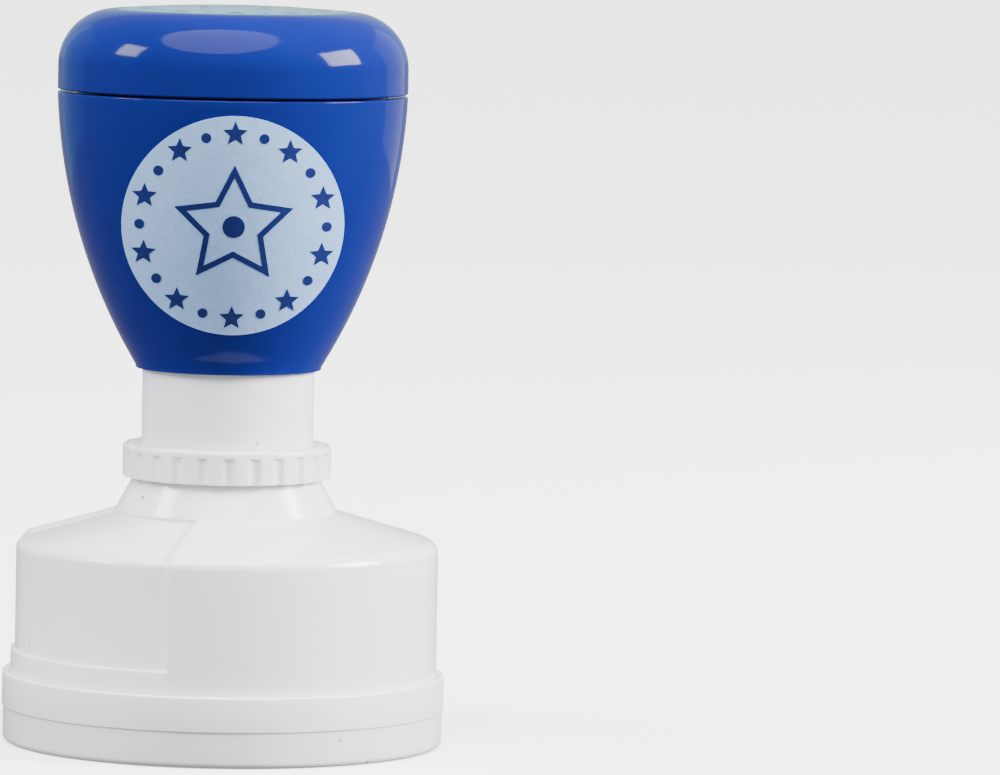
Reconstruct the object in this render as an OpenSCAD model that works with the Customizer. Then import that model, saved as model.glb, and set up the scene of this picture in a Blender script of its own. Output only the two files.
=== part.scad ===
// Round pre-inked rubber stamp: a sprung handle on a flared white body, with a dust cap.
// Millimetres. The origin is the middle of the dust cap's foot, +Z is up, the front faces -Y.

/* [Body] */
// Outer radius of the white body's skirt
shell_r = 17; // [16.6:0.1:22]
// Height of the skirt, from its rim to the edge of the shoulder
skirt_h = 13.8; // [12.5:0.1:20]
// Wall thickness of the skirt and shoulder
shell_wall = 1.3; // [1:0.1:1.6]
// Slope of the shoulder, in degrees above level
shoulder_slope = 16.35; // [12:0.05:24]
// Rounding of the shoulder's edge
shoulder_round = 1.1; // [0.6:0.1:2]
// Slope of the cone under the ring, in degrees from upright
cone_slope = 25.7; // [20:0.1:32]
// Radial width of the foot of that cone, outside the thread
cone_step = 1.54; // [1.2:0.02:2.4]

/* [Label panel] */
// Depth of the recessed label panel
panel_depth = 0.33; // [0.2:0.01:0.5]
// Height of the plain lip left under the panel
panel_lip = 5; // [3.6:0.1:7]
// Front edge of the panel, in degrees round from the front
panel_start = 16; // [5:1:30]
// Width of the panel, in degrees round the skirt
panel_width = 90; // [60:1:120]

/* [Neck] */
// Outer radius of the neck tube that the handle slides on
neck_r = 6.9; // [6:0.1:8.4]
// Wall thickness of the neck tube
neck_wall = 1.2; // [1:0.1:1.4]
// Width of the two keyways that stop the handle turning
keyway_w = 2; // [1.4:0.1:3]
// Depth of the keyways
keyway_depth = 0.35; // [0.25:0.05:0.5]
// Thickness of the shelf that carries the spring
shelf_t = 1.5; // [1.2:0.1:2.2]

/* [Depth ring] */
// Height of the depth ring
ring_h = 2.65; // [2.4:0.05:3.6]
// Thickness of the ring outside its thread
ring_wall = 0.94; // [0.9:0.02:1.6]
// How far the thread stands out of the neck
thread_depth = 0.4; // [0.3:0.02:0.6]
// Height of one turn of the thread
thread_pitch = 0.8; // [0.6:0.1:1]
// How far the ring can climb
ring_rise = 1; // [0.5:0.1:1.2]
// Height of the smooth rim above the finger grooves
ring_rim = 0.5; // [0.4:0.05:0.8]
// Number of finger grooves round the ring
groove_n = 25; // [18:1:36]
// Radius of a finger groove's cut
groove_r = 0.35; // [0.25:0.05:0.45]
// Depth of a finger groove
groove_depth = 0.23; // [0.15:0.01:0.3]

/* [Handle] */
// How far the handle presses down
press_travel = 4.9; // [3:0.1:5.2]
// Height of the handle's side, from its lower rim to the seam
handle_h = 21.9; // [20.5:0.1:28]
// Radius of the handle at the seam
handle_r = 13.93; // [13:0.01:17]
// Radius of the handle's lower rim, outside its bore
rim_wall = 0.44; // [0.4:0.02:0.9]
// Radius of the arc that the side follows
side_arc = 44.9; // [36:0.1:80]
// Wall thickness of the handle
handle_wall = 1.5; // [1.3:0.1:1.7]
// Wall of the sleeve that slides on the neck
sleeve_wall = 1.2; // [0.9:0.1:1.4]
// Height of the solid foot under the hollow in the handle
handle_foot = 6.6; // [5:0.1:8]
// Radius of the round badge on the front
badge_r = 8.7; // [6:0.1:9.5]
// Height of the seam above the badge's centre
badge_drop = 9.85; // [9.6:0.05:11]
// Thickness of the badge's film
badge_t = 0.08; // [0.06:0.01:0.15]

/* [Handle cap] */
// Height of the upright band above the seam
band_h = 2.1; // [1:0.1:4]
// Rounding of the cap's crown
crown_r = 4.5; // [3.6:0.1:5]
// Gap that shows as the seam
seam_gap = 0.18; // [0.1:0.01:0.3]
// Depth of the spigot that plugs the handle
spigot_depth = 2.2; // [1.6:0.1:2.6]
// Wall of that spigot
spigot_wall = 1.2; // [0.9:0.1:1.6]
// Depth of the seat for the index lens
lens_seat = 1.2; // [1:0.1:1.5]
// Rise of the lens's dome above the crown
lens_dome = 0.4; // [0.2:0.05:0.7]
// Thickness of the index label
label_t = 0.2; // [0.1:0.05:0.3]

/* [Plunger] */
// Outer radius of the plunger tube
rod_r = 2.5; // [2.2:0.1:2.8]
// Radius of the ink channel down the tube
channel_r = 1.1; // [0.9:0.05:1.2]
// Radius of the tube's threaded top end
rod_end_r = 1.9; // [1.7:0.05:2]
// Thickness of the deck inside the handle
deck_t = 1.4; // [1.2:0.1:1.8]
// Radius of the boss under the deck
boss_r = 5.2; // [4.6:0.1:5.3]
// Length of the boss under the deck
boss_h = 4.8; // [4:0.1:5.2]
// Width of the nut across its flats
nut_flats = 7; // [6:0.5:8]
// Thickness of the nut
nut_h = 2; // [1.6:0.1:2.2]
// Length of the refill plug's stem
plug_stem = 3; // [2:0.1:3.2]
// Radius of the refill plug's head
plug_head_r = 2.6; // [2.2:0.1:3]
// Thickness of the refill plug's head
plug_head_h = 1; // [0.8:0.1:1.2]

/* [Spring] */
// Radius of the spring's coil, to the middle of its wire
coil_r = 4.35; // [4:0.05:4.6]
// Radius of the spring's wire
wire_r = 0.4; // [0.3:0.02:0.5]
// Number of turns
coil_turns = 7; // [6:1:9]
// Thickness of the washer on top of the spring
spring_washer_t = 0.4; // [0.3:0.05:0.6]

/* [Die] */
// How far the printing face stands out of the body when pressed
print_reach = 0.3; // [0.2:0.05:0.5]
// Radius of the printing face
die_r = 11; // [9:0.1:11.2]
// Height of the relief on the die
relief_h = 0.8; // [0.5:0.1:0.9]
// Width of the die's flange, outside its printing face
die_flange = 1.1; // [0.9:0.1:1.4]
// Thickness of the die's flange
die_base_t = 1; // [0.8:0.1:1.4]
// Thickness of the ink foam
foam_t = 2.6; // [2:0.1:3]
// Wall of the die holder's cup
cup_wall = 1.1; // [0.9:0.1:1.3]
// Thickness of the die holder's plate
plate_t = 1.2; // [1:0.1:1.5]
// Wall of the frame that clips round the cup
frame_wall = 0.9; // [0.8:0.05:1.1]
// Thickness of the frame's lip under the die
frame_lip = 0.6; // [0.5:0.05:0.8]
// Radius of the holder's hub
hub_r = 4.2; // [3.8:0.1:5]
// Number of ribs on the holder
rib_n = 6; // [4:1:8]
// Thickness of a rib
rib_t = 0.9; // [0.7:0.1:1.2]

/* [Dust cap] */
// Wall of the dust cap at its upper band
cap_wall = 0.58; // [0.5:0.02:1]
// Height of the dust cap
cap_h = 5.6; // [4.6:0.1:8]
// Height of the upper band, which stands a little proud
cap_band_h = 2.8; // [1.5:0.1:3.4]
// How far the upper band stands proud
cap_band = 0.1; // [0.05:0.01:0.2]
// Rounding of the dust cap's lower edge
cap_round = 0.5; // [0.3:0.1:0.8]
// Thickness of the dust cap's floor
cap_floor = 1.1; // [0.9:0.1:1.4]
// Height of the foot ring under the floor
foot_h = 0.3; // [0.2:0.05:0.6]

/* [Fits] */
// Radial clearance between the dust cap and the body
cap_fit = 0.06; // [0.04:0.01:0.1]
// Radial clearance between the handle and the neck
slide_fit = 0.08; // [0.05:0.01:0.1]
// Radial clearance between the plunger tube and the shelf
rod_fit = 0.08; // [0.05:0.01:0.1]
// Radial clearance between pieces that stay put in each other
seat_fit = 0.03; // [0.02:0.01:0.05]
// Radial clearance between the depth ring and what it turns on
ring_fit = 0.08; // [0.05:0.01:0.1]
// Clearance left above the ring when the handle is fully down
land_gap = 0.1; // [0.05:0.01:0.2]
// Clearance between the hub and the shelf at rest
stop_gap = 0.05; // [0.02:0.01:0.1]
// Clearance left under the printing face when it is pressed inside the dust cap
well_gap = 0.7; // [0.5:0.1:1]
// Clearance left between the deck and the neck when the handle is fully down
deck_gap = 0.9; // [0.5:0.1:1.5]

/* [Hidden] */
$fn = 96;
// Steps in a curved stretch of an outline
ARC = 20;
// Steps in one turn of the spring, and sides of its wire
COIL_STEPS = 18;
WIRE_SIDES = 8;

// Levels, from the foot up
well_z = foot_h + cap_floor;
rim_z = well_z + well_gap + print_reach;
lip_z = rim_z + panel_lip;
shoulder_z = rim_z + skirt_h;
thread_r = neck_r + thread_depth;
cone_r = thread_r + cone_step;
cone_z = shoulder_z + (shell_r - cone_r) * tan(shoulder_slope);
thread_z = cone_z + cone_step / tan(cone_slope);
ring_lap = 0.54;
ring_z = thread_z - ring_lap;
ring_top = ring_z + ring_h;
thread_end = thread_depth / 2;
thread_top = ring_top - ring_rim - 0.1 - thread_end;
thread_cut = thread_pitch / 2;
handle_z = ring_top + ring_rise + press_travel + land_gap;
seam_z = handle_z + handle_h;

// Shelf under the spring, level with the cone
shelf_z = cone_z + 0.8;
shelf_top = shelf_z + shelf_t;

// Handle
bore_r = neck_r + slide_fit;
sleeve_r = bore_r + sleeve_wall;
handle_rim_r = bore_r + rim_wall;
rim_chamfer = 0.25;
deck_top = seam_z - spigot_depth - 1.4;
deck_z = deck_top - deck_t;
deck_seat = 0.7;
socket_r = handle_r - handle_wall;
deck_r = socket_r - 0.5;
boss_z = deck_z - boss_h;
badge_mid = seam_z - badge_drop;
neck_top = deck_z - press_travel - deck_gap;
sleeve_top = deck_z - 2.4;

// Handle cap and lens
crown_edge = handle_r - crown_r;
crown_z = seam_z + band_h + crown_r;
lens_r = crown_edge - seat_fit;
lens_z = crown_z - lens_seat;
lid_t = 1.1;
lid_under = lens_z - lid_t;

// Plunger
rod_shoulder = boss_z + 2;
rod_top = deck_top + nut_h + 0.3;
spring_top = boss_z - spring_washer_t;

// Die, from its face up
face_z = rim_z + press_travel - print_reach;
base_z = face_z + relief_h;
foam_z = base_z + die_base_t;
plate_z = foam_z + foam_t;
hub_top = shelf_z - stop_gap;
flange_r = die_r + die_flange;
cup_r = flange_r + seat_fit + cup_wall;
cup_z = base_z + 0.1;
frame_z = base_z - frame_lip;

// Dust cap
cap_in = shell_r + cap_fit;
cap_r = cap_in + cap_wall;
well_r = shell_r - shell_wall + 0.2;

// Points on an arc, from angle a to angle b about [cr, cz]
function arc(cr, cz, r, a, b, n = ARC) =
    [for (i = [0:n]) [cr + r * cos(a + (b - a) * i / n), cz + r * sin(a + (b - a) * i / n)]];

// Points on the arc of radius r that joins p to q and bulges outwards
function bulge(p, q, r, n = ARC) =
    let (
        half = norm(q - p) / 2,
        side = sqrt(r * r - half * half),
        along = (q - p) / (2 * half),
        mid = (p + q) / 2,
        c = mid + side * [-along[1], along[0]],
        a = atan2(p[1] - c[1], p[0] - c[0]),
        b = atan2(q[1] - c[1], q[0] - c[0])
    )
    arc(c[0], c[1], r, a, b, n);

// The handle's side, moved outwards by t
function handle_side(t = 0) =
    [for (p = bulge([handle_rim_r, handle_z + rim_chamfer], [handle_r, seam_z], side_arc)) [p[0] + t, p[1]]];

// Top of the skirt and the shoulder, moved into the wall by t
function shoulder(t = 0) =
    let (
        x = shell_r - t,
        z = shoulder_z + t * tan(shoulder_slope) - t / cos(shoulder_slope),
        turn = 90 - shoulder_slope,
        back = shoulder_round * tan(turn / 2)
    )
    concat(
        arc(x - shoulder_round, z - back, shoulder_round, 0, turn, 8),
        [[cone_r, z + (x - cone_r) * tan(shoulder_slope)]]
    );

module revolve(points, turn = 360) {
    rotate_extrude(angle = turn)
        polygon(points);
}

module tube(outer, inner, z, h) {
    translate([0, 0, z])
        difference() {
            cylinder(r = outer, h = h);
            translate([0, 0, -1])
                cylinder(r = inner, h = h + 2);
        }
}

// A pair of blocks across the axis, from radius a to radius b
module key_pair(a, b, w, z, h) {
    for (turn = [0, 180])
        rotate([0, 0, turn])
            translate([a, -w / 2, z])
                cube([b - a, w, h]);
}

// A five-pointed star's outline
function star(r, waist) =
    [for (i = [0:9]) let (a = 90 + 36 * i, d = i % 2 == 0 ? r : waist) [d * cos(a), d * sin(a)]];

module dust_cap() {
    color("white")
        difference() {
            revolve(concat(
                [[0, 0]],
                arc(cap_r - cap_band - cap_round, cap_round, cap_round, -90, 0, 6),
                [[cap_r - cap_band, cap_h - cap_band_h], [cap_r, cap_h - cap_band_h + cap_band]],
                [[cap_r, cap_h - 0.1], [cap_r - 0.1, cap_h]],
                [[cap_in, cap_h], [cap_in, rim_z], [well_r, rim_z], [well_r, well_z], [0, well_z]]
            ));
            // The floor stands on a ring
            translate([0, 0, -1])
                cylinder(r = well_r - 1.6, h = 1 + foot_h);
        }
}

module outer_shell() {
    inner_r = shell_r - shell_wall;
    hub_room = cone_r - 1.6;
    ceiling = shoulder_z - shell_wall / cos(shoulder_slope);
    neck_in = neck_r - neck_wall;
    color("white")
        difference() {
            revolve(concat(
                [[0, rim_z], [shell_r - 0.15, rim_z], [shell_r, rim_z + 0.15]],
                shoulder(),
                [[thread_r, thread_z], [thread_r, thread_top], [neck_r, thread_top + thread_end]],
                [[neck_r, neck_top - 0.3], [neck_r - 0.3, neck_top], [0, neck_top]]
            ));
            // Hollow of the skirt, up to the shelf
            revolve([
                [0, rim_z - 1], [inner_r, rim_z - 1], [inner_r, ceiling + shell_wall * tan(shoulder_slope)],
                [hub_room, ceiling + (shell_r - hub_room) * tan(shoulder_slope)],
                [hub_room - 0.4, shelf_z], [0, shelf_z]
            ]);
            // Bore for the spring, above the shelf
            translate([0, 0, shelf_top])
                cylinder(r = neck_in, h = neck_top);
            // Hole for the plunger tube
            translate([0, 0, shelf_z - 1])
                cylinder(r = rod_r + rod_fit, h = shelf_t + 2);
            // Thread, as rings of groove
            for (k = [0:floor((thread_top - thread_z - thread_cut) / thread_pitch)])
                translate([0, 0, thread_z + 0.05 + thread_pitch * k])
                    revolve([
                        [thread_r - 0.25, thread_cut / 2], [thread_r + 0.1, -0.05],
                        [thread_r + 0.1, thread_cut + 0.05]
                    ]);
            // Keyways, through the thread and up the neck
            key_pair(neck_r - keyway_depth, thread_r + 1, keyway_w, thread_z + 0.3, neck_top);
            // Recessed label panel
            rotate([0, 0, 270 - panel_start - panel_width])
                revolve(concat(
                    [[shell_r + 1, lip_z], [shell_r - panel_depth, lip_z]],
                    shoulder(panel_depth),
                    [[cone_r, cone_z + 1], [shell_r + 1, cone_z + 1]]
                ), panel_width);
        }
}

module adjusting_ring() {
    ring_r = thread_r + ring_fit + ring_wall;
    rim_edge = 0.3;
    color("white")
        difference() {
            revolve(concat(
                [[0, ring_z], [ring_r - 0.15, ring_z], [ring_r, ring_z + 0.15]],
                arc(ring_r - rim_edge, ring_top - rim_edge, rim_edge, 0, 90, 6),
                [[0, ring_top]]
            ));
            translate([0, 0, ring_z - 1])
                cylinder(r = thread_r + ring_fit, h = ring_h + 2);
            // Room for the cone under the ring
            translate([0, 0, ring_z - 1])
                cylinder(r = thread_r + ring_lap * tan(cone_slope) + 2 * ring_fit, h = 1 + ring_lap);
            // Seat for the stop washer
            translate([0, 0, ring_top - ring_rim])
                cylinder(r = ring_r - 0.36, h = 2);
            for (k = [0:groove_n - 1])
                rotate([0, 0, 270 + 360 * k / groove_n])
                    translate([ring_r + groove_r - groove_depth, 0, ring_z - 1])
                        cylinder(r = groove_r, h = 1 + ring_h - ring_rim, $fn = 24);
        }
}

module stop_washer() {
    washer_r = thread_r + ring_wall - 0.36;
    color("gainsboro")
        union() {
            tube(washer_r, bore_r, ring_top - ring_rim, ring_rim);
            intersection() {
                key_pair(neck_r - keyway_depth + slide_fit, bore_r + 0.2, keyway_w - 2 * slide_fit,
                    ring_top - ring_rim, ring_rim);
                cylinder(r = washer_r, h = ring_top + 1);
            }
        }
}

module handle_body() {
    side = handle_side();
    hollow_z = handle_z + handle_foot;
    ledge_r = deck_r - deck_seat;
    // The hollow follows the side at the wall's thickness, and leaves a ledge for the deck
    hollow = [for (p = handle_side(-handle_wall)) if (p[1] > hollow_z && p[1] < deck_z - 1)
        [min(p[0], ledge_r), p[1]]];
    color("royalblue")
        union() {
            difference() {
                revolve(concat(
                    [[0, handle_z], [handle_rim_r - 0.15, handle_z]],
                    side,
                    [[0, seam_z]]
                ));
                translate([0, 0, handle_z - 1])
                    cylinder(r = bore_r, h = handle_h + 2);
                // Socket for the cap's spigot, and the deck's seat under it
                translate([0, 0, seam_z - spigot_depth])
                    cylinder(r = socket_r, h = spigot_depth + 1);
                translate([0, 0, deck_z])
                    cylinder(r = deck_r + seat_fit, h = deck_t + 4);
                // Hollow under the deck, with the sleeve left standing in it
                revolve(concat(
                    [[sleeve_r, hollow_z]], hollow,
                    [[ledge_r, deck_z - 1], [ledge_r, deck_z + 1], [0, deck_z + 1]],
                    [[0, sleeve_top], [sleeve_r, sleeve_top]]
                ));
            }
            // Keys that run in the neck's keyways
            key_pair(neck_r - keyway_depth + slide_fit, bore_r + 0.3, keyway_w - 2 * slide_fit,
                handle_z + 0.6, neck_top - handle_z - 1);
        }
}

module handle_deck() {
    color("royalblue")
        difference() {
            union() {
                translate([0, 0, deck_z])
                    cylinder(r = deck_r, h = deck_t);
                translate([0, 0, boss_z])
                    cylinder(r = boss_r, h = boss_h + deck_t / 2);
            }
            translate([0, 0, boss_z - 1])
                cylinder(r = rod_r + seat_fit, h = rod_shoulder - boss_z + 1);
            translate([0, 0, boss_z])
                cylinder(r = rod_end_r + seat_fit, h = boss_h + deck_t + 1);
        }
}

module front_badge() {
    color("lightblue")
        intersection() {
            difference() {
                revolve(concat([[0, handle_z + rim_chamfer]], handle_side(badge_t), [[0, seam_z]]));
                revolve(concat(
                    [[0, handle_z], [handle_rim_r, handle_z]],
                    handle_side(),
                    [[handle_r, seam_z + 1], [0, seam_z + 1]]
                ));
            }
            translate([0, 0, badge_mid])
                rotate([90, 0, 0])
                    cylinder(r = badge_r, h = handle_r + 2);
        }
}

module handle_cap() {
    skirt_z = seam_z + seam_gap;
    spigot_r = socket_r - seat_fit;
    inside_r = spigot_r - spigot_wall;
    color("royalblue")
        difference() {
            revolve(concat(
                [[0, seam_z - spigot_depth], [spigot_r - 0.2, seam_z - spigot_depth]],
                [[spigot_r, seam_z - spigot_depth + 0.2], [spigot_r, skirt_z]],
                [[handle_r - 0.1, skirt_z], [handle_r, skirt_z + 0.1]],
                arc(crown_edge, crown_z - crown_r, crown_r, 0, 90),
                [[0, crown_z]]
            ));
            // Hollow
            revolve(concat(
                [[0, seam_z - spigot_depth - 1], [inside_r, seam_z - spigot_depth - 1]],
                arc(inside_r - 2.4, lid_under - 2.4, 2.4, 0, 90, 8),
                [[0, lid_under]]
            ));
            // Seat for the label and lens
            translate([0, 0, lens_z])
                cylinder(r = crown_edge, h = lens_seat + 1);
        }
}

module index_label() {
    color("aliceblue")
        translate([0, 0, lens_z])
            cylinder(r = lens_r, h = label_t);
}

module index_lens() {
    dome_r = (lens_r * lens_r + lens_dome * lens_dome) / (2 * lens_dome);
    spread = asin(lens_r / dome_r);
    color("powderblue")
        revolve(concat(
            [[0, lens_z + label_t], [lens_r, lens_z + label_t]],
            [for (i = [0:8]) let (a = spread * (1 - i / 8))
                [dome_r * sin(a), crown_z + lens_dome - dome_r * (1 - cos(a))]]
        ));
}

module refill_plug() {
    color("white")
        union() {
            translate([0, 0, rod_top - plug_stem])
                cylinder(r = channel_r - 0.05, h = plug_stem + plug_head_h / 2);
            translate([0, 0, rod_top])
                cylinder(r = plug_head_r, h = plug_head_h);
        }
}

module plunger_tube() {
    color("whitesmoke")
        difference() {
            union() {
                translate([0, 0, plate_z + plate_t])
                    cylinder(r = rod_r, h = rod_shoulder - plate_z - plate_t);
                translate([0, 0, rod_shoulder - 1])
                    cylinder(r = rod_end_r, h = rod_top - rod_shoulder + 1);
            }
            translate([0, 0, plate_z])
                cylinder(r = channel_r, h = rod_top);
        }
}

module rod_nut() {
    color("silver")
        difference() {
            translate([0, 0, deck_top])
                cylinder(r = nut_flats / sqrt(3), h = nut_h, $fn = 6);
            translate([0, 0, deck_top - 1])
                cylinder(r = rod_end_r + seat_fit, h = nut_h + 2);
        }
}

module spring_washer() {
    color("silver")
        tube(boss_r, rod_r + rod_fit, spring_top, spring_washer_t);
}

// One ring of the wire's section, a share s of the way up the coil
function wire_ring(s) =
    let (
        turn = 360 * coil_turns * s,
        z = shelf_top + wire_r + (spring_top - shelf_top - 2 * wire_r) * s
    )
    [for (k = [0:WIRE_SIDES - 1])
        let (a = 360 * k / WIRE_SIDES, r = coil_r + wire_r * 0.98 * cos(a))
        [r * cos(turn), r * sin(turn), z + wire_r * 0.98 * sin(a)]];

module return_spring() {
    rings = COIL_STEPS * coil_turns;
    n = WIRE_SIDES;
    points = [for (i = [0:rings]) for (p = wire_ring(i / rings)) p];
    sides = [for (i = [0:rings - 1]) for (k = [0:n - 1])
        [i * n + k, (i + 1) * n + k, (i + 1) * n + (k + 1) % n, i * n + (k + 1) % n]];
    first = [for (k = [0:n - 1]) k];
    last = [for (k = [0:n - 1]) rings * n + n - 1 - k];
    color("silver")
        polyhedron(points = points, faces = concat(sides, [first, last]));
}

module die_holder() {
    cup_in = flange_r + seat_fit;
    rib_reach = cup_r - 1.5;
    rib_top = hub_top - 3;
    color("whitesmoke")
        difference() {
            union() {
                translate([0, 0, cup_z])
                    cylinder(r = cup_r, h = plate_z + plate_t - cup_z);
                translate([0, 0, plate_z])
                    cylinder(r = hub_r, h = hub_top - plate_z);
                for (k = [0:rib_n - 1])
                    rotate([0, 0, 360 * (k + 0.5) / rib_n])
                        translate([0, rib_t / 2, plate_z + plate_t / 2])
                            rotate([90, 0, 0])
                                linear_extrude(rib_t)
                                    polygon([
                                        [hub_r - 1, 0], [rib_reach, 0], [rib_reach, plate_t / 2 + 0.3],
                                        [hub_r + 0.6, rib_top - plate_z], [hub_r - 1, rib_top - plate_z]
                                    ]);
            }
            translate([0, 0, cup_z - 1])
                cylinder(r = cup_in, h = plate_z - cup_z + 1);
            translate([0, 0, plate_z + plate_t])
                cylinder(r = rod_r + seat_fit, h = hub_top);
            translate([0, 0, plate_z - 1])
                cylinder(r = channel_r, h = plate_t + 2);
        }
}

module ink_foam() {
    color("steelblue")
        translate([0, 0, foam_z])
            cylinder(r = flange_r - 0.1, h = foam_t);
}

module stamp_die() {
    star_r = die_r - 4.6;
    color("mediumblue")
        union() {
            translate([0, 0, base_z])
                cylinder(r = flange_r, h = die_base_t);
            // Relief: a ring of dots round a star, all standing on a boss
            translate([0, 0, face_z + relief_h / 2])
                cylinder(r = die_r - 0.4, h = relief_h / 2 + 0.2);
            tube(die_r - 0.5, die_r - 1.3, face_z, relief_h);
            translate([0, 0, face_z])
                linear_extrude(relief_h)
                    difference() {
                        polygon(star(star_r, star_r * 0.47));
                        circle(r = star_r * 0.2);
                    }
            for (k = [0:9])
                rotate([0, 0, 36 * k])
                    translate([0, die_r - (k % 2 == 0 ? 2.9 : 3.8), face_z])
                        cylinder(r = k % 2 == 0 ? 0.6 : 1, h = relief_h);
        }
}

module die_frame() {
    frame_r = cup_r + seat_fit + frame_wall;
    color("whitesmoke")
        difference() {
            translate([0, 0, frame_z])
                cylinder(r = frame_r, h = plate_z - frame_z);
            translate([0, 0, base_z])
                cylinder(r = cup_r + seat_fit, h = plate_z);
            translate([0, 0, frame_z - 1])
                cylinder(r = die_r + 0.1, h = frame_lip + 2);
        }
}

dust_cap();
outer_shell();
adjusting_ring();
stop_washer();
handle_body();
handle_deck();
front_badge();
handle_cap();
index_label();
index_lens();
refill_plug();
plunger_tube();
rod_nut();
spring_washer();
return_spring();
die_holder();
ink_foam();
stamp_die();
die_frame();
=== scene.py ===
# %% [markdown]
# # A round pre-inked rubber stamp
# The stamp is turned plastic almost everywhere: a white body that flares to a skirt, a blue handle that
# slides on the body's neck, a grooved depth ring between them and a dust cap underneath. The CAD model is
# loaded as a fixed frame. It says where every piece is and how far it moves, and each visible piece is then
# modelled again here with soft edges and real finishes.

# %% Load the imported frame
import math

import bmesh
import bpy
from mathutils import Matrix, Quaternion, Vector


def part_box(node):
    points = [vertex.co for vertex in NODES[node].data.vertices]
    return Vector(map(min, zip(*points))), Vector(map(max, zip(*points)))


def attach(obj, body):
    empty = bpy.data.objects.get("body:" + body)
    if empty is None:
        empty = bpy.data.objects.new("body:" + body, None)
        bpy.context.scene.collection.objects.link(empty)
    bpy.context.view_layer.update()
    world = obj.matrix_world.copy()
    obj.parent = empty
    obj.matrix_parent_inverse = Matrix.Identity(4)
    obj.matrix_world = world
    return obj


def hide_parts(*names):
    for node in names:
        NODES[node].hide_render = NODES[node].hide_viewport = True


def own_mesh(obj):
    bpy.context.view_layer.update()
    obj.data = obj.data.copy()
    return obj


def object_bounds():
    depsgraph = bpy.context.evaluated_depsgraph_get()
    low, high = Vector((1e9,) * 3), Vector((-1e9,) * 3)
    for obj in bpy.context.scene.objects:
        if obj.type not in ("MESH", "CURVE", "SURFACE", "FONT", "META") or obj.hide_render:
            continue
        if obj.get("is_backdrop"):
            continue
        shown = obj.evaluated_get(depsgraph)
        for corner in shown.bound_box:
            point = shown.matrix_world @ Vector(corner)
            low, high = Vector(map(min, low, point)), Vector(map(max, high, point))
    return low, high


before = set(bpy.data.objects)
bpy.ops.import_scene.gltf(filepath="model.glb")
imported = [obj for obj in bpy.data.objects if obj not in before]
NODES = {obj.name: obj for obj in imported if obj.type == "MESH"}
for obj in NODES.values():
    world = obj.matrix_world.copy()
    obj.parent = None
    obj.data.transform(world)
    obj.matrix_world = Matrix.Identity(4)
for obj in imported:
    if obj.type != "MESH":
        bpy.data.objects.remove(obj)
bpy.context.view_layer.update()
MM = 0.001

# %% [markdown]
# ## Reading sizes from the frame
# A turned piece is known by its radii and its heights. Both are read from the CAD nodes, so the pieces made
# here follow the frame if it changes. Everything below is written in millimetres and turned into metres
# only when a shape is drawn.

# %% Radii and heights of the CAD nodes


def span(node):
    """A node's radius, lowest and highest level, in millimetres."""
    low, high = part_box(node)
    return max(high.x, -low.x) / MM, low.z / MM, high.z / MM


def outer_line(node, low, high):
    """The outermost (radius, height) points of a node between two levels, from the lowest up.

    Only the right side is read, away from the label panel. The lowest point must be an outer one, and from
    there on a point inside the line of its neighbours is dropped.
    """
    widest = {}
    for v in NODES[node].data.vertices:
        z = round(v.co.z / MM, 2)
        if low <= z <= high and v.co.x > 0:
            widest[z] = max(widest.get(z, 0.0), math.hypot(v.co.x, v.co.y) / MM)
    line = []
    for z in sorted(widest):
        r = widest[z]
        while len(line) > 1 and ((z - line[-2][1]) * (line[-1][0] - line[-2][0])
                                 < (line[-1][1] - line[-2][1]) * (r - line[-2][0]) - 1e-3):
            line.pop()
        line.append((r, z))
    return line


cap_r, foot_z, cap_top = span("dust_cap")
skirt_r, rim_z, neck_top = span("outer_shell")
ring_r, ring_z, ring_top = span("adjusting_ring")
washer_r, washer_z, washer_top = span("stop_washer")
handle_r, handle_z, seam_z = span("handle_body")
_, spigot_z, crown_z = span("handle_cap")
lens_r, lens_z, lens_top = span("index_lens")
label_r, label_z, label_top = span("index_label")
deck_r, boss_z, deck_top = span("handle_deck")
rod_r, rod_z, rod_top = span("plunger_tube")
holder_r, cup_z, hub_top = span("die_holder")
flange_r, face_z, base_top = span("stamp_die")
frame_r, frame_z, plate_z = span("die_frame")
foam_r, foam_z, foam_top = span("ink_foam")
coil_r, shelf_top, spring_top = span("return_spring")
plug_r, plug_z, plug_top = span("refill_plug")
print(f"skirt {skirt_r:.2f} mm, handle {handle_r:.2f} mm, seam at {seam_z:.2f} mm")

# %% [markdown]
# ## Working with edit mode
# Every operator acts on whatever is selected, and loading the frame leaves the CAD nodes selected. So each
# piece starts with everything deselected, and faces are picked in code by where they are.

# %% Selecting and finishing


def deselect():
    if bpy.context.object and bpy.context.object.mode != "OBJECT":
        bpy.ops.object.mode_set(mode="OBJECT")
    bpy.ops.object.select_all(action="DESELECT")


def edit(piece):
    deselect()
    piece.select_set(True)
    bpy.context.view_layer.objects.active = piece
    bpy.ops.object.mode_set(mode="EDIT")
    bpy.ops.mesh.select_mode(type="VERT")
    bpy.ops.mesh.select_all(action="DESELECT")


def pick(piece, kind, test):
    """Select the faces, edges or verts of the piece in edit mode whose middle, in mm, passes a test."""
    mesh = bmesh.from_edit_mesh(piece.data)
    bpy.ops.mesh.select_all(action="DESELECT")
    bpy.ops.mesh.select_mode(type={"faces": "FACE", "edges": "EDGE", "verts": "VERT"}[kind])
    count = 0
    for part in getattr(mesh, kind):
        if kind == "verts":
            middle = part.co / MM
        else:
            middle = sum((v.co for v in part.verts), Vector()) / len(part.verts) / MM
        if test(middle, part):
            part.select_set(True)
            count += 1
    mesh.select_flush_mode()
    bmesh.update_edit_mesh(piece.data)
    return count


def smooth(piece, angle=32):
    deselect()
    piece.select_set(True)
    bpy.context.view_layer.objects.active = piece
    bpy.ops.object.shade_smooth_by_angle(angle=math.radians(angle))


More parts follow.
